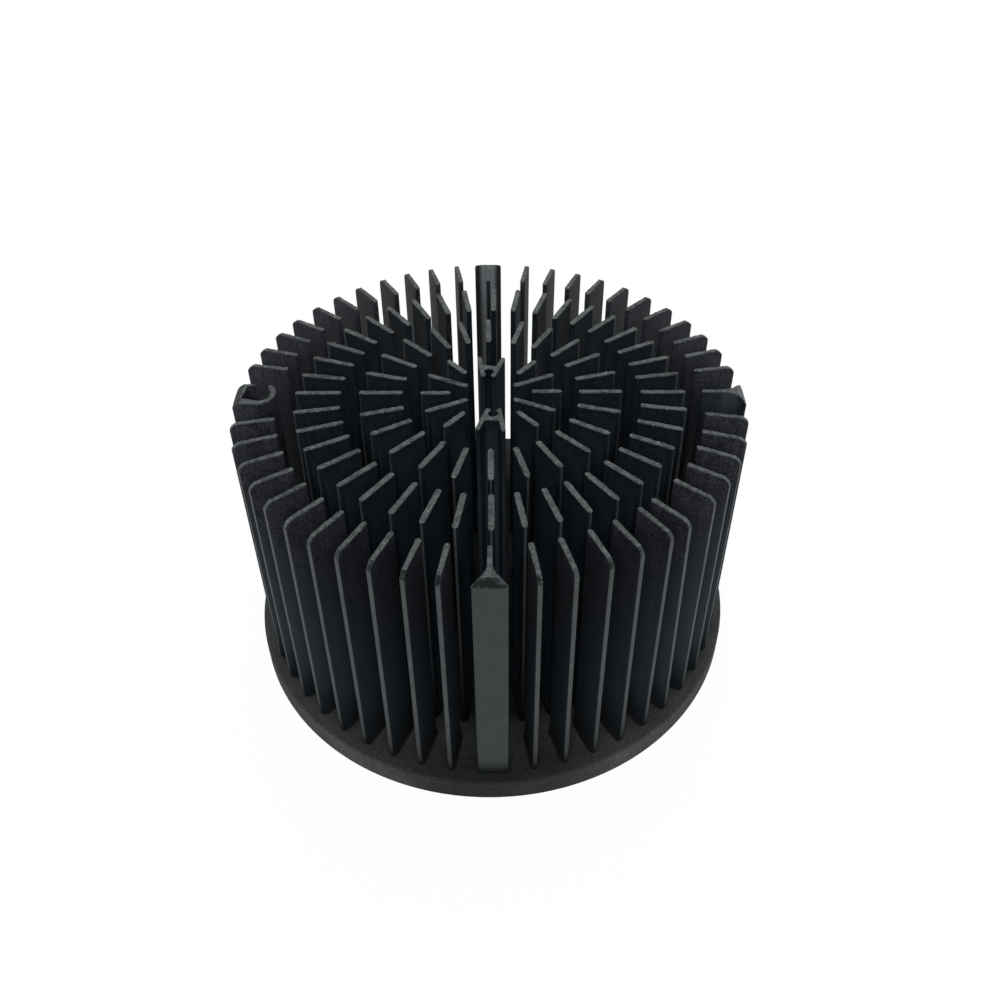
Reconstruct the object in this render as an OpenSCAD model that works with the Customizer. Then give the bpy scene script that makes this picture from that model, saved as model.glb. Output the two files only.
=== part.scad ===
// Cold-forged heat sink for a round LED lamp: a base disc with four rings of upright plate fins.
// The lamp's seat is the underside, at z = 0. The fins stand along +Z, and the front tab faces -Y.

/* [Base disc] */
// Thickness of the base disc
base_t = 7; // [4:0.5:12]
// How far the base disc stands out past the turned fins
flange_w = 2.5; // [1.5:0.25:6]
// Rounding of the upper edge of the base disc
flange_r = 0.8; // [0.2:0.1:1.4]
// Chamfer of the lower edge of the base disc
seat_chamfer = 0.6; // [0.2:0.1:1.4]

/* [Fins] */
// Height of the fins above the base disc
fin_h = 73; // [30:1:110]
// Thickness of the fins in the inner three rings
fin_t = 1.5; // [1:0.1:2]
// Width of the open ring between two rings of fins
ring_gap = 4.5; // [3:0.25:5.5]

/* [Outer ring] */
// Diameter that the outer ring is turned to
turned_d = 133; // [128:0.5:150]
// Radial length of the fins in the outer ring
outer_len = 11.3; // [9:0.1:12]
// Thickness of the fins in the outer ring
outer_t = 1.3; // [1:0.1:2]
// Plain fins between two neighbouring tabs
outer_fins = 11; // [5:1:13]
// Angle from a tab to the first fin beside it
tab_gap_a = 9.5; // [7:0.5:12]
// Angle from the wire ring to the first fin beside it
wire_gap_a = 11; // [9:0.5:15]
// Turned rounding at the upper outer corner of the fins
tip_r = 2; // [0.5:0.1:3]
// Turned undercut at the foot of the outer edges
foot_r = 1.5; // [0.5:0.1:2.5]

/* [Middle rings] */
// Radial length of the fins in the third ring
third_len = 11.9; // [10:0.1:13]
// Fins in the third ring
third_fins = 40; // [24:4:44]
// Radial length of the fins in the second ring
second_len = 11.4; // [9.5:0.1:12.5]
// Fins in the second ring
second_fins = 24; // [12:4:28]

/* [Inner ring] */
// Radial length of the long fins in the inner ring
inner_long_len = 11.8; // [9:0.1:12.5]
// Radial length of the short fins in the inner ring
inner_short_len = 7.9; // [5:0.1:9]
// Angle between neighbouring fins in the inner ring
inner_pitch_a = 25; // [20:0.5:27]

/* [Tabs] */
// Width of the face of a tab
tab_w = 8; // [6:0.25:10]
// Thickness of the stem that carries a tab
tab_stem_t = 1.2; // [0.9:0.1:2]
// Hollow rounding between a tab and its stem
tab_fillet = 6; // [4:0.1:7]
// Thickness of a tab at its two tips
tab_tip_t = 0.45; // [0.3:0.05:1.5]

/* [Wire ring] */
// Clear diameter for the lamp's cable
wire_d = 7; // [5:0.1:8]
// Wall of the wire ring
wire_wall = 1.3; // [1:0.1:2]
// Thickness of the tab behind the cable
wire_web = 2.5; // [2:0.1:3.5]
// Angle from the ring's inmost point to its open tip
wire_tip_a = 42; // [20:1:60]
// Angle of the mouth that a single lead is pressed in through
wire_mouth_a = 66; // [60:1:110]

/* [Screw ports] */
// Distance between the two screw holes
port_span = 18; // [16:0.25:22]
// Diameter of a screw hole, for an M3 thread-forming screw
port_hole_d = 2.5; // [2:0.1:3.2]
// Wall around a screw hole
port_wall = 1.2; // [1:0.1:1.8]
// Width of the slot between the prongs in front of a screw hole
port_slot_w = 1.4; // [0.8:0.05:1.6]
// Length of the prongs, from the screw hole's middle inwards
prong_len = 2.2; // [1.8:0.1:3]
// Thickness of the web behind a screw hole
port_web = 1.5; // [1.2:0.1:2.5]
// Length of the legs, from the screw hole's middle outwards
leg_len = 6.7; // [4:0.1:8]
// Thickness of the legs
leg_t = 1.2; // [1:0.1:1.8]
// Distance between the tips of the two legs, over their outsides
leg_spread = 7.8; // [6:0.1:9]

/* [Hidden] */
$fn = 96;
anodised_black = [0.12, 0.125, 0.13];

quarters = 4;
quarter_a = 360 / quarters;
wire_quarter = 2;
height = base_t + fin_h;
// the fins are rooted in the middle of the base disc
root_z = base_t / 2;
turned_r = turned_d / 2;
base_r = turned_r + flange_w;
// stock that the turning takes off the outer ring
turning_stock = 1;
// how far the mouth's cut runs past the wire ring
mouth_past = 0.05;
outer_in = turned_r - outer_len;
third_out = outer_in - ring_gap;
third_in = third_out - third_len;
second_out = third_in - ring_gap;
second_in = second_out - second_len;
inner_out = second_in - ring_gap;
// the hollow roundings of a tab are struck from this far out, and from this far to its sides
hollow_v = tab_stem_t / 2 + tab_fillet;
tab_tip_u = sqrt(turned_r ^ 2 - (tab_w / 2) ^ 2) - tab_tip_t;
hollow_r = tab_tip_u - sqrt(tab_fillet ^ 2 - (hollow_v - tab_w / 2) ^ 2);
wire_r = wire_d / 2;
wire_outer_r = wire_r + wire_wall;
wire_centre_r = turned_r - wire_web - wire_r;
port_r = port_span / 2;
port_outer_r = port_hole_d / 2 + port_wall;

function gap_beside(quarter) = quarter % quarters == wire_quarter ? wire_gap_a : tab_gap_a;

// A plate fin along +X, round at its inner end and square at its outer end.
module fin_outline(r_in, r_out, thickness = fin_t) {
    nose_r = thickness / 2;
    translate([r_in + nose_r, -nose_r]) square([r_out - r_in - nose_r, thickness]);
    translate([r_in + nose_r, 0]) circle(r = nose_r);
}

// A straight bar with a round far end.
module bar_outline(start, end, width) {
    run = end - start;
    bar_len = norm(run) - width / 2;
    translate(start) rotate(atan2(run.y, run.x)) {
        translate([0, -width / 2]) square([bar_len, width]);
        translate([bar_len, 0]) circle(d = width);
    }
}

// A ring of equal fins, one of them along +X.
module fin_ring(count, r_in, r_out) {
    for (i = [0 : count - 1]) rotate(i * 360 / count) fin_outline(r_in, r_out);
}

// The plate of a tab, between two hollow roundings that run out to thin tips.
module tab_plate_outline() {
    plate_t = turned_r + turning_stock - hollow_r;
    difference() {
        translate([hollow_r, -tab_w / 2]) square([plate_t, tab_w]);
        for (side = [-1, 1])
            translate([hollow_r, side * hollow_v]) circle(r = tab_fillet);
    }
}

// A tab and the stem that carries it.
module tab_outline() {
    fin_outline(outer_in, turned_r, tab_stem_t);
    tab_plate_outline();
}

// The sector that is left open between the tip of the wire ring and the tab behind it.
module wire_mouth_outline() {
    steps = 4;
    reach = wire_outer_r / cos(wire_mouth_a / steps / 2) + mouth_past;
    polygon([[0, 0], for (i = [0 : steps]) let (a = 180 + wire_tip_a + i * wire_mouth_a / steps)
        reach * [cos(a), sin(a)]]);
}

// A straight-sided tab that ends inwards in an open ring, for the lamp's cable.
// Beside its mouth the ring is no wider than the tab.
module wire_tab_outline() {
    tip_a = 180 + wire_tip_a;
    tip_centre_r = wire_r + wire_wall / 2;
    tab_len = turned_r + turning_stock - wire_centre_r;
    difference() {
        union() {
            translate([wire_centre_r, -tab_w / 2]) square([tab_len, tab_w]);
            translate([wire_centre_r, 0]) circle(r = wire_outer_r);
        }
        translate([wire_centre_r, 0]) {
            circle(r = wire_r);
            wire_mouth_outline();
        }
        translate([wire_centre_r, -wire_outer_r - tab_w / 2])
            square([turned_r, wire_outer_r]);
    }
    translate([wire_centre_r, 0] + tip_centre_r * [cos(tip_a), sin(tip_a)]) circle(d = wire_wall);
}

// The outer ring: four tabs a quarter turn apart, one of them with the wire ring, and fins between.
module outer_ring_outline() {
    for (quarter = [0 : quarters - 1]) rotate(quarter * quarter_a) {
        first_a = gap_beside(quarter);
        last_a = quarter_a - gap_beside(quarter + 1);
        if (quarter == wire_quarter) wire_tab_outline();
        else tab_outline();
        for (i = [0 : outer_fins - 1])
            rotate(first_a + i * (last_a - first_a) / (outer_fins - 1))
                fin_outline(outer_in, turned_r + turning_stock, outer_t);
    }
}

// The inner ring on one side of the middle: five fins, of which the second and fourth are long.
module inner_side_outline() {
    for (i = [-2 : 2])
        rotate(i * inner_pitch_a)
            fin_outline(inner_out - (abs(i) == 1 ? inner_long_len : inner_short_len), inner_out);
}

// A screw port along +X: a slotted eye with two prongs towards the middle and two legs outwards.
module port_outline() {
    prong_root_v = port_outer_r - port_wall / 2;
    prong_tip_v = (port_slot_w + port_wall) / 2;
    leg_root_v = port_outer_r - leg_t / 2;
    leg_tip_v = (leg_spread - leg_t) / 2;
    translate([port_r, 0]) difference() {
        union() {
            circle(r = port_outer_r);
            translate([0, -leg_root_v]) square([port_hole_d / 2 + port_web, 2 * leg_root_v]);
            for (side = [-1, 1]) {
                bar_outline([0, side * prong_root_v], [-prong_len, side * prong_tip_v], port_wall);
                bar_outline([0, side * leg_root_v], [leg_len, side * leg_tip_v], leg_t);
            }
        }
        circle(d = port_hole_d);
        translate([-prong_len, -port_slot_w / 2]) square([prong_len, port_slot_w]);
    }
}

// The base disc's half section.
module base_profile() {
    difference() {
        square([base_r, base_t]);
        translate([base_r - flange_r, base_t - flange_r]) difference() {
            square(flange_r);
            circle(r = flange_r);
        }
        polygon([[base_r - seat_chamfer, 0], [base_r, 0], [base_r, seat_chamfer]]);
    }
}

// The half section that the outer ring is turned to, rounded at the tips and undercut at the foot.
module turned_profile() {
    difference() {
        translate([0, root_z]) square([turned_r, height - root_z]);
        translate([turned_r - tip_r, height - tip_r]) difference() {
            square(tip_r);
            circle(r = tip_r);
        }
        translate([turned_r - foot_r, root_z]) difference() {
            square([foot_r, base_t - root_z + foot_r]);
            translate([0, base_t - root_z + foot_r]) circle(r = foot_r);
        }
    }
}

// The whole heat sink, one forging that is turned on its outside and anodised black.
module heat_sink() {
    color(anodised_black) union() {
        rotate_extrude() base_profile();
        intersection() {
            translate([0, 0, root_z]) linear_extrude(height - root_z) outer_ring_outline();
            rotate_extrude() turned_profile();
        }
        translate([0, 0, root_z]) linear_extrude(height - root_z) {
            fin_ring(third_fins, third_in, third_out);
            fin_ring(second_fins, second_in, second_out);
            for (side = [0, 180]) rotate(side) {
                inner_side_outline();
                rotate(quarter_a) port_outline();
            }
        }
    }
}

heat_sink();
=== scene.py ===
from math import asin, atan2, cos, hypot, pi, radians, sin, sqrt

import bmesh
import bpy
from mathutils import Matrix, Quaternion, Vector


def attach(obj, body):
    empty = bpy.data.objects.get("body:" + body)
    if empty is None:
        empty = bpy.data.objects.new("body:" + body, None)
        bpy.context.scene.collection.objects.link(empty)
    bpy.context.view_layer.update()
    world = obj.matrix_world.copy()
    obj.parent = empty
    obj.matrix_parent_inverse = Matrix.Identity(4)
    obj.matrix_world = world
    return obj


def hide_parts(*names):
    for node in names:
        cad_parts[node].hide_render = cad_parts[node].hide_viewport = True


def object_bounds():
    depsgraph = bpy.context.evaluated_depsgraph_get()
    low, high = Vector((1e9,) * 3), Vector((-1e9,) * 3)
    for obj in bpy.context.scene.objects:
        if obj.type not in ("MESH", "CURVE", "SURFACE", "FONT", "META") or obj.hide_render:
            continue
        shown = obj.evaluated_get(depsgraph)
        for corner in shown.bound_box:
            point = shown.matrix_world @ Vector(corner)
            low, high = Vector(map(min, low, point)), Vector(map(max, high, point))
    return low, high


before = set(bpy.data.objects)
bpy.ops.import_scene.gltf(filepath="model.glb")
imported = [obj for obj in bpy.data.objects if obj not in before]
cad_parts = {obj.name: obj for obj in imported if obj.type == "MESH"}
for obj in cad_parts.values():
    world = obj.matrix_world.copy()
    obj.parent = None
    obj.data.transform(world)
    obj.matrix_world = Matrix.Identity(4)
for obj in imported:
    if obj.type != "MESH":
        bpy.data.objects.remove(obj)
cad_low, cad_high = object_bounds()
scene = bpy.context.scene
scene.view_settings.view_transform = "Standard"
mm = 0.001

# The camera stands in front of the heat sink, about 160 mm above its fins, and looks down into them.
# Its place, its slightly wide lens and the lens's shift are fitted to the photo.
camera_place = Vector((2.655, -210.696, 240.067)) * mm
camera_dip = radians(40.496)
camera_turn = radians(1.818)
camera_roll = radians(0.792)
lens = bpy.data.cameras.new("camera")
lens.sensor_width = 36
lens.lens = 36.557
lens.shift_x = -0.02597
lens.shift_y = -0.05028
lens.clip_start = 10 * mm
camera = bpy.data.objects.new("camera", lens)
camera.location = camera_place
camera.rotation_mode = "QUATERNION"
sight = Vector((sin(camera_turn) * cos(camera_dip), cos(camera_turn) * cos(camera_dip), -sin(camera_dip)))
camera.rotation_quaternion = sight.to_track_quat("-Z", "Y") @ Quaternion((0, 0, 1), camera_roll)
scene.collection.objects.link(camera)
scene.camera = camera


# The studio is a white table in a white room. One soft box hangs above the heat sink, a strong one stands
# behind the camera and a weak one at the back. A dark card around the camera keeps white off the tips.
class Wire:
    """One output of a node, which stands in Python sums: each sum adds its Math node."""

    def __init__(self, net, socket):
        self.net = net
        self.socket = socket

    def math(self, operation, *values):
        return self.net.add("ShaderNodeMath", {"operation": operation}, dict(enumerate(values)))

    def __add__(self, other):
        return self.math("ADD", self, other)

    def __rsub__(self, other):
        return self.math("SUBTRACT", other, self)

    def __mul__(self, other):
        return self.math("MULTIPLY", self, other)

    def __gt__(self, other):
        return self.math("GREATER_THAN", self, other)

    def or_more(self, other):
        return self.math("MAXIMUM", self, other)


class Net:
    """A node tree, and the one way in which nodes come into it."""

    def __init__(self, tree):
        self.tree = tree

    def add(self, kind, settings=None, sockets=None, out=0):
        node = self.tree.nodes.new(kind)
        for name, value in (settings or {}).items():
            setattr(node, name, value)
        for key, value in (sockets or {}).items():
            if isinstance(value, Wire):
                self.tree.links.new(value.socket, node.inputs[key])
            else:
                node.inputs[key].default_value = value
        return Wire(self, node.outputs[out]) if node.outputs else None

    def blend(self, share, first, second):
        """Goes from the first colour to the second as the share goes from 0 to 1."""
        return self.add("ShaderNodeMix", {"data_type": "RGBA"}, {0: share, 6: first, 7: second}, out=2)

    def step(self, value, low, high):
        """Goes smoothly from 0 at low to 1 at high."""
        return self.add("ShaderNodeMapRange", {"interpolation_type": "SMOOTHSTEP"},
                        {"Value": value, "From Min": low, "From Max": high})


def ray_kinds(net):
    """1 for a ray straight from the camera, and 1 for one that is mirrored or comes through glass."""
    ray = net.add("ShaderNodeLightPath").socket.node.outputs
    mirrored_ray = Wire(net, ray["Is Glossy Ray"]).or_more(Wire(net, ray["Is Transmission Ray"]))
    return Wire(net, ray["Is Camera Ray"]), mirrored_ray


def mesh_object(name, mesh, *materials):
    """Turns a mesh that was built face by face into an object in the scene."""
    data = bpy.data.meshes.new(name)
    mesh.to_mesh(data)
    mesh.free()
    for material in materials:
        data.materials.append(material)
    made = bpy.data.objects.new(name, data)
    scene.collection.objects.link(made)
    return made


def stage_sheet(name, size, place, facing, material):
    """A flat sheet of the studio, which is no piece of the heat sink."""
    mesh = bmesh.new()
    bmesh.ops.create_grid(mesh, x_segments=1, y_segments=1, size=0.5)
    turn = facing.to_track_quat("Z", "Y").to_matrix()
    for vert in mesh.verts:
        vert.co = place + turn @ Vector((vert.co.x * size[0], vert.co.y * size[1], 0))
    sheet = mesh_object(name, mesh, material)
    return sheet


def bare_material(name):
    material = bpy.data.materials.new(name)
    material.use_nodes = True
    material.node_tree.nodes.clear()
    return material, Net(material.node_tree)


def table_white():
    """Paper that the camera sees as white, with the shadow on it, and that lights the heat sink less."""
    material, net = bare_material("table_white")
    straight, bounced = ray_kinds(net)
    lighting_grey, shown_paper = (0.34, 0.34, 0.34, 1), (0.95, 0.95, 0.95, 1)
    paper = net.blend(straight, lighting_grey, shown_paper)
    plain = net.add("ShaderNodeBsdfDiffuse", None, {"Color": paper})
    white = net.add("ShaderNodeEmission", None, {"Color": (1, 1, 1, 1), "Strength": 1.0})
    shown_white, mirrored_white = 0.95, 0.2
    share = straight * shown_white + (1 - straight) * bounced * mirrored_white
    mixed = net.add("ShaderNodeMixShader", None, {0: share, 1: plain, 2: white})
    net.add("ShaderNodeOutputMaterial", None, {"Surface": mixed})
    return material


def card_black():
    material, net = bare_material("card_black")
    plain = net.add("ShaderNodeBsdfDiffuse", None, {"Color": (0.02, 0.02, 0.02, 1)})
    net.add("ShaderNodeOutputMaterial", None, {"Surface": plain})
    return material


table_size = (6, 6)
table_below = 0.02 * mm
stage_sheet("table", table_size, Vector((0, 0, cad_low.z - table_below)), Vector((0, 0, 1)), table_white())
card_size, card_away, card_rise = (2.4, 2.0), 1.0, radians(38)
card_way = Vector((0, -cos(card_rise), sin(card_rise)))
card = stage_sheet("card", card_size, card_way * card_away, -card_way, card_black())
card.visible_camera = False
card.visible_diffuse = False
card.visible_shadow = False

room = bpy.data.worlds.new("room")
room.use_nodes = True
room.node_tree.nodes.clear()
room_net = Net(room.node_tree)
straight_ray, bounced_ray = ray_kinds(room_net)
room_way = room_net.add("ShaderNodeTexCoord", out="Generated")
room_up = room_net.add("ShaderNodeSeparateXYZ", None, {0: room_way}, out="Z").or_more(0.0)
room_low, room_rise = 0.08, 0.48
room_level = room_up * room_rise + room_low
seen_white = straight_ray.or_more(bounced_ray)
room_light = room_net.add("ShaderNodeBackground", None, {
    "Color": (1, 1, 1, 1), "Strength": seen_white + (1 - seen_white) * room_level})
room_net.add("ShaderNodeOutputWorld", None, {"Surface": room_light})
scene.world = room


def soft_box(name, size, watts, place):
    """An area light that faces the heat sink."""
    light = bpy.data.lights.new(name, "AREA")
    light.shape = "RECTANGLE"
    light.size, light.size_y = size
    light.energy = watts
    box = bpy.data.objects.new(name, light)
    box.location = place
    box.rotation_mode = "QUATERNION"
    box.rotation_quaternion = (-place).to_track_quat("-Z", "Y")
    scene.collection.objects.link(box)
    return box


soft_box("soft_box_above", size=(1.1, 0.8), watts=3.6, place=Vector((0.1, 0.55, 0.95)))
for box in (soft_box("soft_box_in_front", size=(1.2, 0.6), watts=13.0, place=Vector((0, -1.02, 0.8))),
            soft_box("soft_box_behind", size=(1.2, 0.6), watts=6.0, place=Vector((0, 1.1, 0.35)))):
    box.visible_glossy = False

# The base disc is the forging's floor: a thick aluminium disc that carries every fin. Its rim is turned
# with a rounded upper edge and then anodised black with the rest, so the rim keeps a fine dull grain. The
# shade that the photo shows at its front and between the fins is painted on, and is no part of the finish.
top = cad_high.z / mm
base_r = cad_high.x / mm
base_t = 7
flange_w = 2.5
flange_r = 0.8
seat_chamfer = 0.6
turned_r = base_r - flange_w


def on_circle(centre, radius, angle):
    """The point on a circle at an angle in degrees."""
    return (centre[0] + radius * cos(radians(angle)), centre[1] + radius * sin(radians(angle)))


def arc(centre, radius, start, end, count):
    """Points on an arc, from one angle to another in degrees, with both ends."""
    return [on_circle(centre, radius, start + (end - start) * i / (count - 1)) for i in range(count)]


def noise(net, where, size, detail=2.0, rough=0.5):
    """Cloudy noise from 0 to 1, with patches of about this size in mm."""
    return net.add("ShaderNodeTexNoise", None, {
        "Vector": where, "Scale": 1 / (size * mm), "Detail": detail, "Roughness": rough})


def squeezed(net, where, scale):
    return net.add("ShaderNodeMapping", None, {"Vector": where, "Scale": scale})


def object_place(net):
    """The place on the piece, as one vector and as its three parts."""
    where = net.add("ShaderNodeTexCoord", out="Object")
    parts = net.add("ShaderNodeSeparateXYZ", None, {0: where}).socket.node.outputs
    return where, [Wire(net, part) for part in parts]


def off_axis(x, y):
    """How far a place lies from the heat sink's axis."""
    return x.math("SQRT", x * x + y * y)


def surface(net, colour, roughness, height, depth, gloss):
    """The shader itself: a colour, a roughness, a bump of this depth in mm and a level of gloss."""
    bump = net.add("ShaderNodeBump", None, {"Height": height, "Distance": depth * mm, "Strength": 1.0})
    shader = net.add("ShaderNodeBsdfPrincipled", None, {
        "Base Color": colour, "Roughness": roughness, "Normal": bump, "Specular IOR Level": gloss,
        "Specular Tint": (0.87, 1.0, 1.03, 1)})
    net.add("ShaderNodeOutputMaterial", None, {"Surface": shader})


def rim_finish():
    """Dull black with grain, turning rings and a few chips, and with the photo's shade painted on."""
    material, net = bare_material("rim_finish")
    where, (x, y, z) = object_place(net)
    seat_shade_z = 0.3 * mm, 1.2 * mm
    front_side = 8 * mm, 38 * mm
    rim_side = 53 * mm, 66 * mm
    floor_side = 46 * mm, 53 * mm
    grain = noise(net, where, 0.55, detail=3.0, rough=0.65)
    cloud = noise(net, where, 9.0)
    rings = noise(net, squeezed(net, where, (0.02, 0.02, 1)), 0.4)
    tone = grain * 0.6 + cloud * 0.25 + rings * 0.15
    colour = net.blend(net.step(tone, 0.38, 0.62), (0.0457, 0.0485, 0.047, 1), (0.097, 0.103, 0.0998, 1))
    away = off_axis(x, y)
    # Painted shade: the rim goes darker at its front and back, near the centre line.
    painted_shade = (1 - net.step(x.math("ABSOLUTE", x), *front_side)) * net.step(away, *rim_side)
    colour = net.blend(painted_shade * 0.67, colour, (0.003, 0.0035, 0.0042, 1))
    # Painted shade: the lower chamfer goes dark where the rim meets the table.
    colour = net.blend(net.step(z, *seat_shade_z), (0.01, 0.0115, 0.012, 1), colour)
    chip = net.step(noise(net, where, 1.1, detail=1.0), 0.74, 0.78)
    colour = net.blend(chip * 0.6, colour, (0.16, 0.155, 0.15, 1))
    # Painted shade: the top of the base disc goes darker, most of all inwards between the fins.
    top_shade = net.step(z, (base_t - flange_r) * mm, base_t * mm)
    inner_shade_share = 1 - net.step(away, *floor_side)
    colour = net.blend(top_shade * (inner_shade_share * 0.4 + 0.5), colour, (0.006, 0.0075, 0.0095, 1))
    surface(net, colour, grain * 0.2 + 0.6, height=grain * 0.7 + rings * 0.3, depth=0.16, gloss=0.15)
    return material


def settle(piece):
    """Weights the normals by face area, makes the result a plain mesh and rides it on the CAD body."""
    even = piece.modifiers.new("even", "WEIGHTED_NORMAL")
    even.keep_sharp = True
    plain_mesh(piece)
    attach(piece, "root")
    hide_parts("heat_sink")


def plain_mesh(piece):
    graph = bpy.context.evaluated_depsgraph_get()
    data = bpy.data.meshes.new_from_object(piece.evaluated_get(graph), depsgraph=graph)
    piece.modifiers.clear()
    piece.data = data
    data.name = piece.name


def base_disc():
    around = 288
    middle_r = base_r - 14
    floor_r = turned_r - 1
    profile = [(middle_r, 0), (base_r - seat_chamfer, 0), (base_r, seat_chamfer), (base_r, base_t / 2)]
    profile += arc((base_r - flange_r, base_t - flange_r), flange_r, 0, 90, 6)
    profile += [(floor_r, base_t), (middle_r, base_t)]
    turns = [2 * pi * i / around for i in range(around)]
    mesh = bmesh.new()
    rows = [[mesh.verts.new((r * mm * cos(a), r * mm * sin(a), z * mm)) for a in turns] for r, z in profile]
    for low, high in zip(rows, rows[1:]):
        for i in range(around):
            mesh.faces.new((low[i - 1], low[i], high[i], high[i - 1]))
    mesh.faces.new(rows[0][::-1])
    mesh.faces.new(rows[-1])
    for face in mesh.faces:
        face.smooth = True
    settle(mesh_object("base_disc", mesh, rim_finish()))


base_disc()

# The inner, second and third rings are plate fins, forged upright out of the base disc through slots in
# the die. Their sides are black, with painted light that makes them lighter deep between the fins. A narrow
# lighter line down their round ends is a painted highlight, and their tops are milled to one height.
fin_t = 1.5
fin_edge_r = 0.18
fin_corner_r = 0.65
fin_end_len = 1.2
least_corner_r = 0.05
root_fillet = 0.5
root_sink = 0.4
third_in, third_out, third_fins = 38.8, 50.7, 40
second_in, second_out, second_fins = 22.9, 34.3, 24
inner_out, inner_long_in, inner_short_in, inner_pitch = 18.4, 6.6, 10.5, 25
shade_black = (0.002, 0.0025, 0.003, 1)
FORGED, CUT, TURNED, ROUNDED, PAINTED_HIGHLIGHT = 0, 1, 2, 3, 4


def drawn_finish(name, dullness, gloss, dark, light, painted_deep_light, reach, root_shade_h=2, painted_sheen=None, painted_shade=0.0):
    """Black with grain and draw lines, which goes over to a lighter colour this many mm below the top:
    painted light.

    A sheen is its radii in mm, from where to where it comes in and goes out again, and the colour: a
    painted reflection.
    Painted shade is how much shade is painted on at the front of the heat sink."""
    material, net = bare_material(name)
    where, (x, y, z) = object_place(net)
    front_start, front_full = 42 * mm, 58 * mm
    grain = noise(net, where, 0.7, detail=3.0, rough=0.65)
    lines = noise(net, squeezed(net, where, (1, 1, 0.02)), 0.7, detail=3.0, rough=0.6)
    cloud = noise(net, where, 6.0)
    tone = grain * 0.65 + lines * 0.2 + cloud * 0.15
    colour = net.blend(net.step(tone, 0.38, 0.62), (*dark, 1), (*light, 1))
    # Painted light: the sides go lighter deep between the fins.
    depth = net.add("ShaderNodeClamp", None, {"Value": (top * mm - z) * (1 / (reach * mm))})
    colour = net.blend(depth, colour, (*painted_deep_light, 1))
    # Painted shade: the sides go darker towards the front of the heat sink.
    if painted_shade:
        front = net.step(0 - y, front_start, front_full)
        colour = net.blend(front * painted_shade, colour, shade_black)
    # Painted reflection: a lighter band on the tab's hollows near its face.
    if painted_sheen:
        start, full, fade, end, sheen_colour = painted_sheen
        away = off_axis(x, y)
        band = net.step(away, start * mm, full * mm) * (1 - net.step(away, fade * mm, end * mm))
        colour = net.blend(band, colour, (*sheen_colour, 1))
    # Painted shade: the sides go darker at their feet.
    root = net.step(z, base_t * mm, (base_t + root_shade_h) * mm)
    colour = net.blend(root, (0.009, 0.011, 0.013, 1), colour)
    ragged = noise(net, where, 0.6) * (0.7 * mm)
    lip = net.step(z + ragged, (top - 0.05) * mm, (top + 0.25) * mm)
    colour = net.blend(lip, colour, (0.05, 0.055, 0.057, 1))
    surface(net, colour, grain * 0.15 + dullness, height=grain * 0.7 + lines * 0.3, depth=0.08, gloss=gloss)
    return material


def milled_finish():
    """Lumpy where the cutter tore the fins' tops, with a few bright flecks of uncoated metal."""
    material, net = bare_material("milled_finish")
    where, _ = object_place(net)
    grain = noise(net, where, 0.35, detail=3.0, rough=0.6)
    lumps = noise(net, where, 1.3, detail=1.0)
    cloud = noise(net, where, 9.0)
    tone = grain * 0.55 + lumps * 0.3 + cloud * 0.15
    colour = net.blend(net.step(tone, 0.41, 0.59), (0.007, 0.008, 0.0085, 1), (0.07, 0.075, 0.076, 1))
    fleck = net.step(noise(net, where, 0.8, detail=1.0), 0.735, 0.795)
    colour = net.blend(fleck, colour, (0.4, 0.4, 0.38, 1))
    surface(net, colour, grain * 0.2 + 0.46, height=grain * 0.5 + lumps * 0.5, depth=0.2, gloss=0.4)
    return material


def turned_finish(name, dark, light, gloss=0.5, foot=None, foot_shade_h=28, patch=None):
    """Cut by the lathe, or a painted highlight line, with painted shade just above the base disc.

    A foot colour, painted shade, comes in below this many mm above the base, and a patch colour is worn in
    patches."""
    material, net = bare_material(name)
    where, (_, _, z) = object_place(net)
    shade_low, shade_high = (base_t + 0.5) * mm, (base_t + 8) * mm
    grain = noise(net, where, 0.3, detail=3.0, rough=0.6)
    feed = noise(net, squeezed(net, where, (0.05, 0.05, 1)), 0.22)
    cloud = noise(net, where, 5.0)
    tone = grain * 0.35 + feed * 0.35 + cloud * 0.3
    colour = net.blend(net.step(tone, 0.3, 0.7), (*dark, 1), (*light, 1))
    # Painted shade: the colour goes darker towards the foot.
    if foot:
        colour = net.blend(net.step(z, base_t * mm, (base_t + foot_shade_h) * mm), (*foot, 1), colour)
    if patch:
        colour = net.blend(net.step(noise(net, where, 1.7, detail=3.0), 0.5, 0.64), colour, (*patch, 1))
    colour = net.blend(net.step(z, shade_low, shade_high), shade_black, colour)
    surface(net, colour, grain * 0.12 + 0.34, height=grain * 0.5 + feed * 0.5, depth=0.03, gloss=gloss)
    return material


inner_finish = {
    "Forged": drawn_finish(
        "drawn_finish", dullness=0.5, gloss=0.2, dark=(0.0027, 0.0041, 0.0057),
        light=(0.0092, 0.0128, 0.0167), painted_deep_light=(0.036, 0.05, 0.064), reach=28),
    "Milled": milled_finish(),
    "Rounded": turned_finish("end_finish", (0.004, 0.0055, 0.007), (0.012, 0.0155, 0.0195), gloss=0.6),
    # Painted highlight: a lighter line down the fins' round ends and along the tabs' arrises.
    "Worn": turned_finish("rubbed_finish", (0.0155, 0.0175, 0.019), (0.04, 0.043, 0.0455),
                          foot=(0.005, 0.0065, 0.008), foot_shade_h=68)}


def rounded_levels(extra=()):
    """Heights of the outlines that a fin is lofted through, from inside the base disc to the top."""
    from_ends = 12
    root = [base_t + root_fillet * (1 - cos(radians(a))) for a in (0, 30, 60, 90)]
    side = [base_t + from_ends, top / 2, top - from_ends]
    edge = [top - fin_edge_r + fin_edge_r * sin(radians(a)) for a in (0, 45, 90)]
    return sorted({base_t - root_sink, *root, *side, *edge, *extra})


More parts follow.
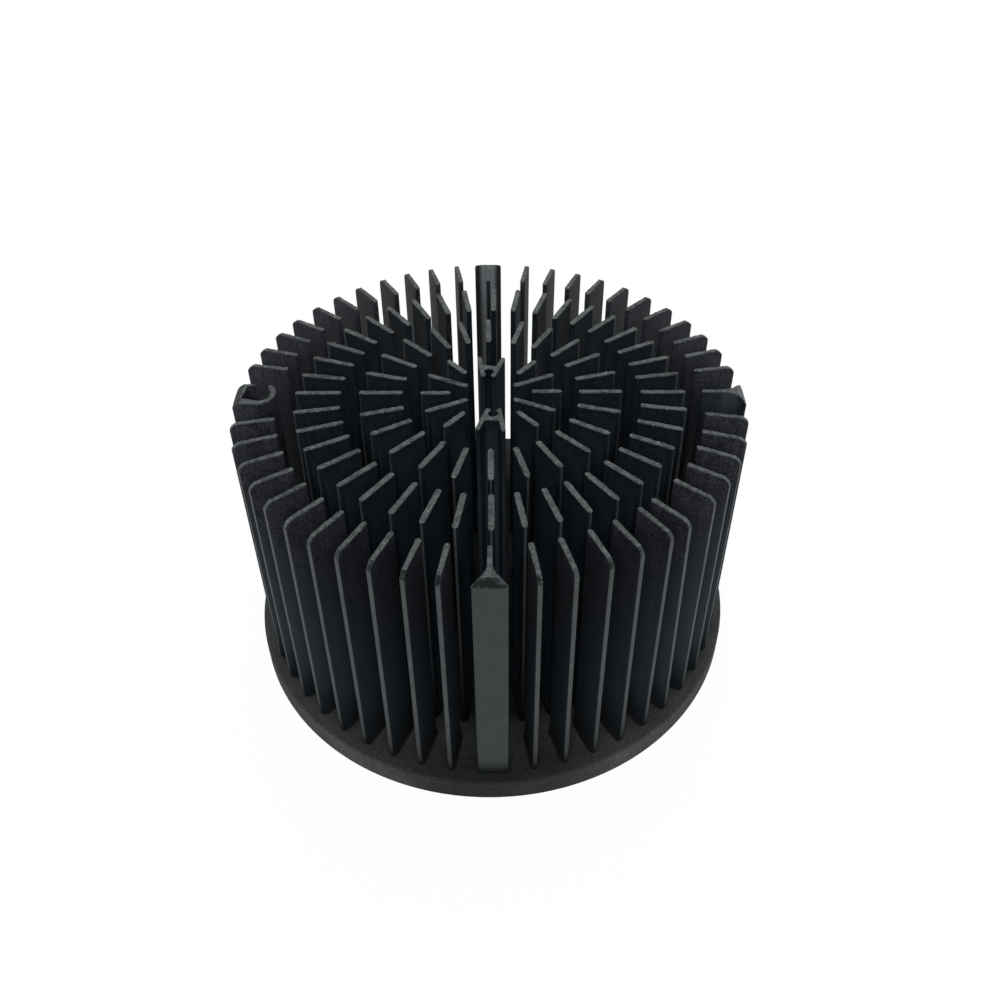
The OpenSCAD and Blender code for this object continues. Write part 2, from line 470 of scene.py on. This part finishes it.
def grown(z):
    """How far the outline stands out at the root, or draws in at the rounded top edge."""
    if z > top - fin_edge_r:
        rise = min(1, (z - top + fin_edge_r) / fin_edge_r)
        return -fin_edge_r * (1 - sqrt(1 - rise * rise))
    if z < base_t + root_fillet:
        sunk = min(1, (base_t + root_fillet - z) / root_fillet)
        return root_fillet * (1 - sqrt(1 - sunk * sunk))
    return 0


def loft(name, levels, outline_at, middle, rounded_from=top):
    """A closed skin through one outline at each level. Each point says the finish of the face after it."""
    mesh = bmesh.new()
    finish = mesh.faces.layers.int.new("finish")
    rows = []
    for z in levels:
        outline = outline_at(z)
        rows.append([mesh.verts.new(((x - middle) * mm, y * mm, z * mm)) for x, y, kind in outline])
    kinds = [kind for x, y, kind in outline]
    for z, low, high in zip(levels, rows, rows[1:]):
        for i, kind in enumerate(kinds):
            j = (i + 1) % len(kinds)
            face = mesh.faces.new((low[i], low[j], high[j], high[i]))
            if kind in (FORGED, ROUNDED, PAINTED_HIGHLIGHT) and z >= top - fin_edge_r:
                kind = CUT
            if kind == TURNED and z >= rounded_from:
                kind = ROUNDED
            face[finish] = kind
    mesh.faces.new(rows[0][::-1])
    mesh.faces.new(rows[-1])[finish] = CUT
    for face in mesh.faces:
        face.smooth = True
    bmesh.ops.remove_doubles(mesh, verts=mesh.verts, dist=0.001 * mm)
    return mesh_object(name, mesh)


def between(start, end, count=15):
    """Points along a straight side, without its ends."""
    run_u, run_v = end[0] - start[0], end[1] - start[1]
    return [(start[0] + run_u * i / (count + 1), start[1] + run_v * i / (count + 1))
            for i in range(1, count + 1)]


def with_finish(points, kind):
    return [(u, v, kind) for u, v in points]


def fin_outline(r_in, r_out):
    """The outline of a fin by height, with a long-rounded outer end that carries a painted highlight along
    its middle.
    """
    def outline(z):
        half = fin_t / 2 + grown(z)
        corner = max(least_corner_r, fin_corner_r + grown(z))
        end = r_out + grown(z)
        nose = arc((r_in + fin_t / 2, 0), half, 90, 270, 9)
        rounding = arc((-corner, corner - half), corner, -90, 0, 9)
        rounding += arc((-corner, half - corner), corner, 0, 90, 9)
        rounding = [(end + u * fin_end_len / fin_corner_r, v) for u, v in rounding]
        sides = between(rounding[-1], nose[0]) + nose + between(nose[-1], rounding[0])
        return (with_finish(rounding[:7], ROUNDED) + with_finish(rounding[7:10], PAINTED_HIGHLIGHT)
                + with_finish(rounding[10:17], ROUNDED) + with_finish(rounding[17:] + sides, FORGED))
    return outline


def plates_tree():
    """Puts a plate on every spot, turned outwards, each leaning and shifted a little by chance."""
    tree = bpy.data.node_groups.new("plates_on_spots", "GeometryNodeTree")
    tree.interface.new_socket("Spots", in_out="INPUT", socket_type="NodeSocketGeometry")
    finishes = {"Forged": FORGED, "Milled": CUT, "Turned": TURNED, "Rounded": ROUNDED, "Worn": PAINTED_HIGHLIGHT}
    for name, kind in (("Plate", "Object"), ("Lean", "Float"), ("Shift", "Float"), ("Burr", "Float"),
                       ("Seed", "Int"), *((name, "Material") for name in finishes)):
        tree.interface.new_socket(name, in_out="INPUT", socket_type="NodeSocket" + kind)
    tree.interface.new_socket("Plates", in_out="OUTPUT", socket_type="NodeSocketGeometry")
    net = Net(tree)
    given = {socket.name: Wire(net, socket)
             for socket in net.add("NodeGroupInput").socket.node.outputs if socket.name}
    spot = net.add("GeometryNodeInputPosition")
    x, y, z = [Wire(net, part)
               for part in net.add("ShaderNodeSeparateXYZ", None, {0: spot}).socket.node.outputs]
    index = net.add("GeometryNodeInputIndex")

    def chance(offset, reach):
        roll = net.add("FunctionNodeRandomValue", {"data_type": "FLOAT"},
                       {"Min": -1.0, "Max": 1.0, "ID": index, "Seed": given["Seed"] + offset}, out="Value")
        return roll * reach

    bearing = y.math("ARCTAN2", y, x)
    tilt = net.add("GeometryNodeInputNamedAttribute", {"data_type": "FLOAT"}, {"Name": "tilt"})
    turn = net.add("ShaderNodeCombineXYZ", None, {0: chance(0, given["Lean"]) + tilt, 2: bearing})
    nudge = net.add("ShaderNodeCombineXYZ", None, {
        0: chance(1, given["Shift"]), 1: chance(2, given["Shift"])})
    spots = net.add("GeometryNodeSetPosition", None, {"Geometry": given["Spots"], "Offset": nudge})
    plate = net.add("GeometryNodeObjectInfo", None, {
        "Object": given["Plate"], "As Instance": True}, out="Geometry")
    placed = net.add("GeometryNodeInstanceOnPoints", None, {
        "Points": spots, "Instance": plate, "Rotation": turn})
    real = net.add("GeometryNodeRealizeInstances", None, {"Geometry": placed})
    lump_size = 0.9 * mm
    lump_middle = (0.5, 0.5, 0.6)
    lump = net.add("ShaderNodeTexNoise", None, {
        "Vector": spot, "Scale": 1 / lump_size, "Detail": 1.0}, out="Color")
    wave = net.add("ShaderNodeVectorMath", {"operation": "SUBTRACT"}, {0: lump, 1: lump_middle})
    wave = net.add("ShaderNodeVectorMath", {"operation": "SCALE"}, {0: wave, "Scale": given["Burr"]})
    real = net.add("GeometryNodeSetPosition", None, {
        "Geometry": real, "Selection": z > (top - fin_edge_r / 2) * mm, "Offset": wave})
    finish = net.add("GeometryNodeInputNamedAttribute", {"data_type": "INT"}, {"Name": "finish"})
    for name, kind in finishes.items():
        chosen = net.add("FunctionNodeCompare", {"data_type": "INT", "operation": "EQUAL"}, {
            "A": finish, "B": kind})
        real = net.add("GeometryNodeSetMaterial", None, {
            "Geometry": real, "Selection": chosen, "Material": given[name]})
    net.add("NodeGroupOutput", None, {"Plates": real})
    return tree


plates = plates_tree()


def set_plates(name, blank, middle, angles, finish, tilts=None, lean=0.0, shift=0.0, burr=0.6, seed=1):
    """Sets copies of the blank at these angles, with its middle at this radius, as one piece."""
    data = bpy.data.meshes.new(name + "_spots")
    data.from_pydata([(*on_circle((0, 0), middle * mm, a), 0) for a in angles], [], [])
    tilt = data.attributes.new("tilt", "FLOAT", "POINT")
    tilt.data.foreach_set("value", [radians(a) for a in tilts or [0] * len(angles)])
    piece = bpy.data.objects.new(name, data)
    scene.collection.objects.link(piece)
    row = piece.modifiers.new("plates", "NODES")
    row.node_group = plates
    values = {"Plate": blank, "Lean": radians(lean), "Shift": shift * mm, "Burr": burr * mm,
              "Seed": seed, **finish}
    for item in plates.interface.items_tree:
        if item.name in values:
            row[item.identifier] = values[item.name]
    settle(piece)
    bpy.data.objects.remove(blank)


def fin_ring(name, r_in, r_out, angles, seed):
    middle = (r_in + r_out) / 2
    blank = loft(name + "_blank", rounded_levels(), fin_outline(r_in, r_out), middle)
    set_plates(name, blank, middle, angles, inner_finish, lean=0.22, shift=0.12, seed=seed)


third_knocked = {10: -0.8}
second_knocked = {6: 1.6}
fin_ring("third_fins", third_in, third_out,
         [i * 360 / third_fins + third_knocked.get(i, 0) for i in range(third_fins)], seed=3)
fin_ring("second_fins", second_in, second_out,
         [i * 360 / second_fins + second_knocked.get(i, 0) for i in range(second_fins)], seed=5)
fin_ring("inner_long_fins", inner_long_in, inner_out,
         [side + way * inner_pitch for side in (0, 180) for way in (-1, 1)], seed=7)
fin_ring("inner_short_fins", inner_short_in, inner_out,
         [side + way * inner_pitch for side in (0, 180) for way in (-2, 0, 2)], seed=9)

# The outer ring is plate fins as well, but the whole forging was then turned on a lathe: the fins' outer
# edges are cut to one round, rounded at the upper corner and undercut at the foot. One fin is bent. The
# photo's shade at the front and at the feet is painted on.
outer_in = 55.2
outer_fins = 11
outer_in_t, outer_out_t = 1.4, 1.12
quarter = 90
gaps_beside = [(9.5, 9.5), (9.5, 11), (11.1, 9.5), (9.3, 10)]
bent = {(3, 5): 1.65}
tip_r = 2
tip_bulge = 0.35
foot_r = 1.5
turned_corner_r = 0.14


def turned_at(z):
    """The radius that the lathe leaves at a height: a bulging chamfer on top, an undercut at the foot."""
    if z > top - tip_r:
        rise = (z - top + tip_r) / tip_r
        return turned_r - tip_r * rise + tip_bulge * sqrt(2) * 4 * rise * (1 - rise)
    if z < base_t + foot_r:
        return turned_r - foot_r + sqrt(max(0, foot_r ** 2 - (base_t + foot_r - max(z, base_t)) ** 2))
    return turned_r


def turned_levels():
    tip = [top - tip_r + tip_r * share for share in (0, 0.06, 0.3, 0.6)]
    foot = [base_t + foot_r * (1 - cos(radians(a))) for a in (20, 40, 60, 90)]
    return rounded_levels(tip + foot)


def outer_fin_outline(z):
    """A fin that tapers outwards to its turned edge."""
    half = outer_out_t / 2 + grown(z)
    corner = max(least_corner_r, min(turned_corner_r, turned_corner_r + grown(z)))
    end = turned_at(z) - corner
    edge = arc((end, corner - half), corner, -90, 0, 3) + arc((end, half - corner), corner, 0, 90, 3)
    nose = arc((outer_in + outer_in_t / 2, 0), outer_in_t / 2 + grown(z), 90, 270, 9)
    sides = between(edge[-1], nose[0]) + nose + between(nose[-1], edge[0])
    return with_finish(edge[:-1], TURNED) + with_finish(edge[-1:] + sides, FORGED)


def outer_angles():
    angles = []
    for part, (first, last) in enumerate(gaps_beside):
        pitch = (quarter - first - last) / (outer_fins - 1)
        angles += [part * quarter + first + i * pitch for i in range(outer_fins)]
    return angles


outer_finish = {
    **inner_finish,
    "Forged": drawn_finish(
        "outer_drawn_finish", dullness=0.5, gloss=0.3, dark=(0.0068, 0.0073, 0.0098),
        light=(0.0345, 0.0347, 0.0425), painted_deep_light=(0.031, 0.0395, 0.0485), reach=40, root_shade_h=18, painted_shade=0.42),
    "Turned": turned_finish("edge_finish", (0.033, 0.0355, 0.037), (0.066, 0.072, 0.075),
                            foot=(0.012, 0.014, 0.0155)),
    # Painted shade: the turned chamfer on top is coloured far darker than the turned face below it.
    "Rounded": turned_finish("tip_finish", (0.003, 0.0038, 0.0042), (0.008, 0.0098, 0.0103), gloss=1.0,
                             patch=(0.046, 0.05, 0.05))}
outer_middle = (outer_in + turned_r) / 2
outer_blank = loft("outer_blank", turned_levels(), outer_fin_outline, outer_middle, top - tip_r)
outer_tilts = [bent.get((part, i), 0) for part in range(len(gaps_beside)) for i in range(outer_fins)]
set_plates("outer_fins", outer_blank, outer_middle, outer_angles(), outer_finish,
           tilts=outer_tilts, lean=0.2, seed=11)

# Three tabs stand in the outer ring, at the front, right and back. A tab is a thin stem that opens like a
# trumpet into a face, which the lathe cut with the outer fins. A painted reflection lightens their hollows
# near the face, most of all on the back one.
tab_w = 8
tab_stem_t = 1.2
tab_fillet = 6
tab_tip_t = 0.45
arris_r = 0.25
turning_stock = 1
hollow_v = tab_stem_t / 2 + tab_fillet
tab_tip_u = sqrt(turned_r ** 2 - (tab_w / 2) ** 2) - tab_tip_t
hollow_r = tab_tip_u - sqrt(tab_fillet ** 2 - (hollow_v - tab_w / 2) ** 2)
hollow_tip_a = -asin((hollow_v - tab_w / 2) / tab_fillet) * 180 / pi


def up_to_lathe(path, limit):
    """The path out to where the lathe cuts it. The points past the cut all lie on the cut."""
    halvings = 40
    kept = [path[0]]
    for (u0, v0), (u1, v1) in zip(path, path[1:]):
        low, high = 0.0, 1.0
        if hypot(*kept[-1]) < limit - 1e-9 and hypot(u1, v1) > limit:
            for _ in range(halvings):
                half = (low + high) / 2
                inside = hypot(u0 + (u1 - u0) * half, v0 + (v1 - v0) * half) < limit
                low, high = (half, high) if inside else (low, half)
            kept.append((u0 + (u1 - u0) * low, v0 + (v1 - v0) * low))
        elif hypot(*kept[-1]) >= limit - 1e-6:
            kept.append(kept[-1])
        else:
            kept.append((u1, v1))
    return kept


def mirrored(path):
    return [(u, -v) for u, v in path]


def cut_by_lathe(path, limit):
    """The path up to the cut, with its arris broken, and the edge of the cut face.

    The path's last point lies on the arris."""
    corner_share, side_share = 0.42, 0.29
    path = up_to_lathe(path, limit)
    end = path[-1]
    run = [hypot(u - end[0], v - end[1]) for u, v in path]
    last = max(i for i, length in enumerate(run) if length > arris_r)
    short = [end[axis] + (path[last][axis] - end[axis]) * arris_r / run[last] for axis in (0, 1)]
    edge_a = atan2(end[1], end[0]) * (1 - arris_r / abs(end[1]))
    edge = (limit * cos(edge_a), limit * sin(edge_a))
    arris = [corner_share * end[axis] + side_share * (short[axis] + edge[axis]) for axis in (0, 1)]
    return path[:last + 1] + [tuple(short)] * (len(path) - last - 1) + [tuple(arris)], edge


def lathe_face(low, high, limit, count=9):
    """The cut face between two points on the cut."""
    start, end = atan2(low[1], low[0]), atan2(high[1], high[0])
    turns = [start + (end - start) * i / (count - 1) for i in range(count)]
    return [(limit * cos(a), limit * sin(a), TURNED) for a in turns]


def tab_skin(high_arm, middle, low_arm, z):
    """The outline of a tab: its face, one arm inwards, what lies between the arms, and the other arm out.

    The arrises of its face carry painted highlight lines."""
    limit = turned_at(z)
    high, high_edge = cut_by_lathe(high_arm, limit)
    low, low_edge = cut_by_lathe(low_arm, limit)
    return (lathe_face(low_edge, high_edge, limit)[:-1] + with_finish([high_edge, high[-1]], PAINTED_HIGHLIGHT)
            + with_finish(high[-2::-1] + middle + low[:-2], FORGED) + with_finish(low[-2:], PAINTED_HIGHLIGHT))


def eased(points, amount):
    """Moves the forged stretches of an outline out along their normals, and leaves the lathe's cut."""
    moved = []
    for i, (u, v, kind) in enumerate(points):
        before, after = points[i - 1], points[(i + 1) % len(points)]
        du, dv = after[0] - before[0], after[1] - before[1]
        length = hypot(du, dv)
        if length > 1e-6 and kind == before[2] == FORGED:
            u, v = u + dv / length * amount, v - du / length * amount
        moved.append((u, v, kind))
    return moved


def tab_outline(z):
    """One half of the trumpet, the stem with its round inner end, and the other half."""
    arm = arc((hollow_r, hollow_v), tab_fillet, -90, hollow_tip_a, 12)
    arm += [(turned_r + turning_stock, tab_w / 2)]
    nose = arc((outer_in + tab_stem_t / 2, 0), tab_stem_t / 2, 90, 270, 9)
    side = between(arm[0], nose[0], 5)
    return eased(tab_skin(arm, side + nose + mirrored(side)[::-1], mirrored(arm), z), grown(z))


# The second colour is a painted reflection on the tab's hollows near the face.
def pressed_finish(name, sheen_colour):
    return drawn_finish(
        name, dullness=0.3, gloss=0.5, dark=(0.005, 0.0063, 0.0083), light=(0.0225, 0.026, 0.031),
        painted_deep_light=(0.0265, 0.034, 0.042), reach=40, root_shade_h=18, painted_sheen=(60, 61.5, 63.8, 65.4, sheen_colour))


tab_finish = {
    **outer_finish,
    "Forged": pressed_finish("pressed_finish", (0.03, 0.034, 0.04)),
    "Turned": turned_finish("face_finish", (0.0195, 0.023, 0.0238), (0.0345, 0.0405, 0.0412))}
back_tab_finish = {**tab_finish, "Forged": pressed_finish("bare_pressed_finish", (0.17, 0.185, 0.2))}
for name, angles, finish in (("front_tabs", [-90, 0], tab_finish), ("back_tab", [91], back_tab_finish)):
    tab_blank = loft(name + "_blank", turned_levels(), tab_outline, outer_middle, top - tip_r)
    set_plates(name, tab_blank, outer_middle, angles, finish)

# On the left the fourth tab is straight-sided and ends inwards in an open ring. The lamp's cable is
# pressed into it through the mouth, which faces the back. It was forged and turned with the other tabs.
wire_r = 3.5
wire_wall = 1.3
wire_web = 2.5
wire_centre = turned_r - wire_web - wire_r
wire_outer_r = wire_r + wire_wall
wire_tip_a = 222
wire_end_a = -72
wire_shoulder_a = 72
pocket_start_a = 112
pocket_front, pocket_back, pocket_r = (63.5, 1.5), (62.9, -2.25), 0.7


def wire_ring_outline(z):
    """The tab and its ring, whose hole is round inwards and a pocket with two rounded corners outwards."""
    centre = (wire_centre, 0)
    side_v = tab_w / 2
    front_end, back_end = (turned_r + turning_stock, side_v), (turned_r + turning_stock, -side_v)
    shoulder = arc(centre, wire_outer_r, 90, wire_shoulder_a, 4)
    front = shoulder + between(shoulder[-1], front_end) + [front_end]
    wall_end = (wire_centre + side_v * cos(radians(wire_end_a)) / sin(radians(-wire_end_a)), -side_v)
    back = [wall_end] + between(wall_end, back_end) + [back_end]
    tip = on_circle(centre, wire_r + wire_wall / 2, wire_tip_a)
    front_corner = arc(pocket_front, pocket_r, 78, 0, 5)
    back_corner = arc(pocket_back, pocket_r, -20, -80, 5)
    ring = arc(centre, wire_outer_r, 90, wire_tip_a, 17)[1:]
    ring += arc(tip, wire_wall / 2, wire_tip_a, wire_tip_a + 180, 7)[1:]
    ring += arc(centre, wire_r, wire_tip_a, pocket_start_a, 17)[1:]
    ring += between(ring[-1], front_corner[0], 6) + front_corner
    ring += between(front_corner[-1], back_corner[0], 4) + back_corner
    ring += [on_circle(centre, wire_r, wire_end_a)]
    return eased(tab_skin(front, ring, back, z), grown(z))


wire_blank = loft("wire_blank", turned_levels(), wire_ring_outline, outer_middle, top - tip_r)
wire_finish = {
    **tab_finish,
    "Forged": outer_finish["Forged"],
    # Painted shade: the ring's turned chamfer is coloured darker than its turned face.
    "Rounded": turned_finish("wire_tip_finish", (0.006, 0.0075, 0.008), (0.018, 0.021, 0.0215), gloss=0.12)}
set_plates("cable_ring", wire_blank, outer_middle, [180], wire_finish)

# Two screw ports stand on the centre line. Each is a slotted eye for a thread-forming screw, with two
# prongs towards the middle and two splayed legs outwards, forged upright with the fins.
port_r = 9
port_hole_r = 1.25
port_wall = 1.2
port_slot_w = 1.4
port_slot_ease = 0.35
port_web = 1.5
port_arch_r = 0.6
prong_len = 2.2
leg_len = 6.7
leg_t = 1.2
leg_spread = 7.8
port_turn = -5.5
port_aside = 0.55


def bar_side(start, end, half, side):
    """The root of a bar's side line, the middle of its round far end, and its direction in degrees."""
    run = hypot(end[0] - start[0], end[1] - start[1])
    du, dv = (end[0] - start[0]) / run, (end[1] - start[1]) / run
    centre = (end[0] - du * half, end[1] - dv * half)
    root = (start[0] - dv * half * side, start[1] + du * half * side)
    return root, centre, atan2(dv, du) * 180 / pi


def port_outline(z):
    """One leg and one prong, the hole, and the mirrored prong and leg, all turned a little."""
    outer_v = port_hole_r + port_wall
    leg_root, leg_centre, leg_a = bar_side(
        (0, outer_v - leg_t / 2), (leg_len, (leg_spread - leg_t) / 2), leg_t / 2, 1)
    prong_root, prong_centre, prong_a = bar_side(
        (0, outer_v - port_wall / 2), (-prong_len, (port_slot_w + port_wall) / 2), port_wall / 2, -1)
    splay = radians(leg_a)
    web_u = port_hole_r + port_web
    inner_v = leg_root[1] - leg_t / cos(splay) + web_u * sin(splay) / cos(splay)
    slot_a = 180 - asin(port_slot_w / 2 / port_hole_r) * 180 / pi
    arch = [(web_u + port_arch_r * t * t * cos(splay),
             inner_v + port_arch_r * (t * t * sin(splay) - (1 - t) ** 2)) for t in (0, 0.25, 0.5, 0.75, 1)]
    leg_tip = arc(leg_centre, leg_t / 2, leg_a - 90, leg_a + 90, 9)
    half = arch + between(arch[-1], leg_tip[0], 4) + leg_tip + between(leg_tip[-1], leg_root, 4)
    half += [((leg_root[0] + prong_root[0]) / 2, max(leg_root[1], prong_root[1]))]
    half += arc(prong_centre, port_wall / 2, prong_a - 90, prong_a + 90, 9)[:-1]
    half += [(prong_centre[0] + port_slot_ease, port_slot_w / 2)]
    hole = arc((0, 0), port_hole_r, slot_a, -slot_a, 25)
    ring = half + hole + mirrored(half)[::-1]
    turn = radians(port_turn)
    turned = [(port_r + u * cos(turn) - v * sin(turn), port_aside + u * sin(turn) + v * cos(turn))
              for u, v in ring]
    return eased(with_finish(turned, FORGED), grown(z))


port_blank = loft("port_blank", rounded_levels(), port_outline, port_r)
set_plates("screw_ports", port_blank, port_r, [-90, 90], inner_finish)
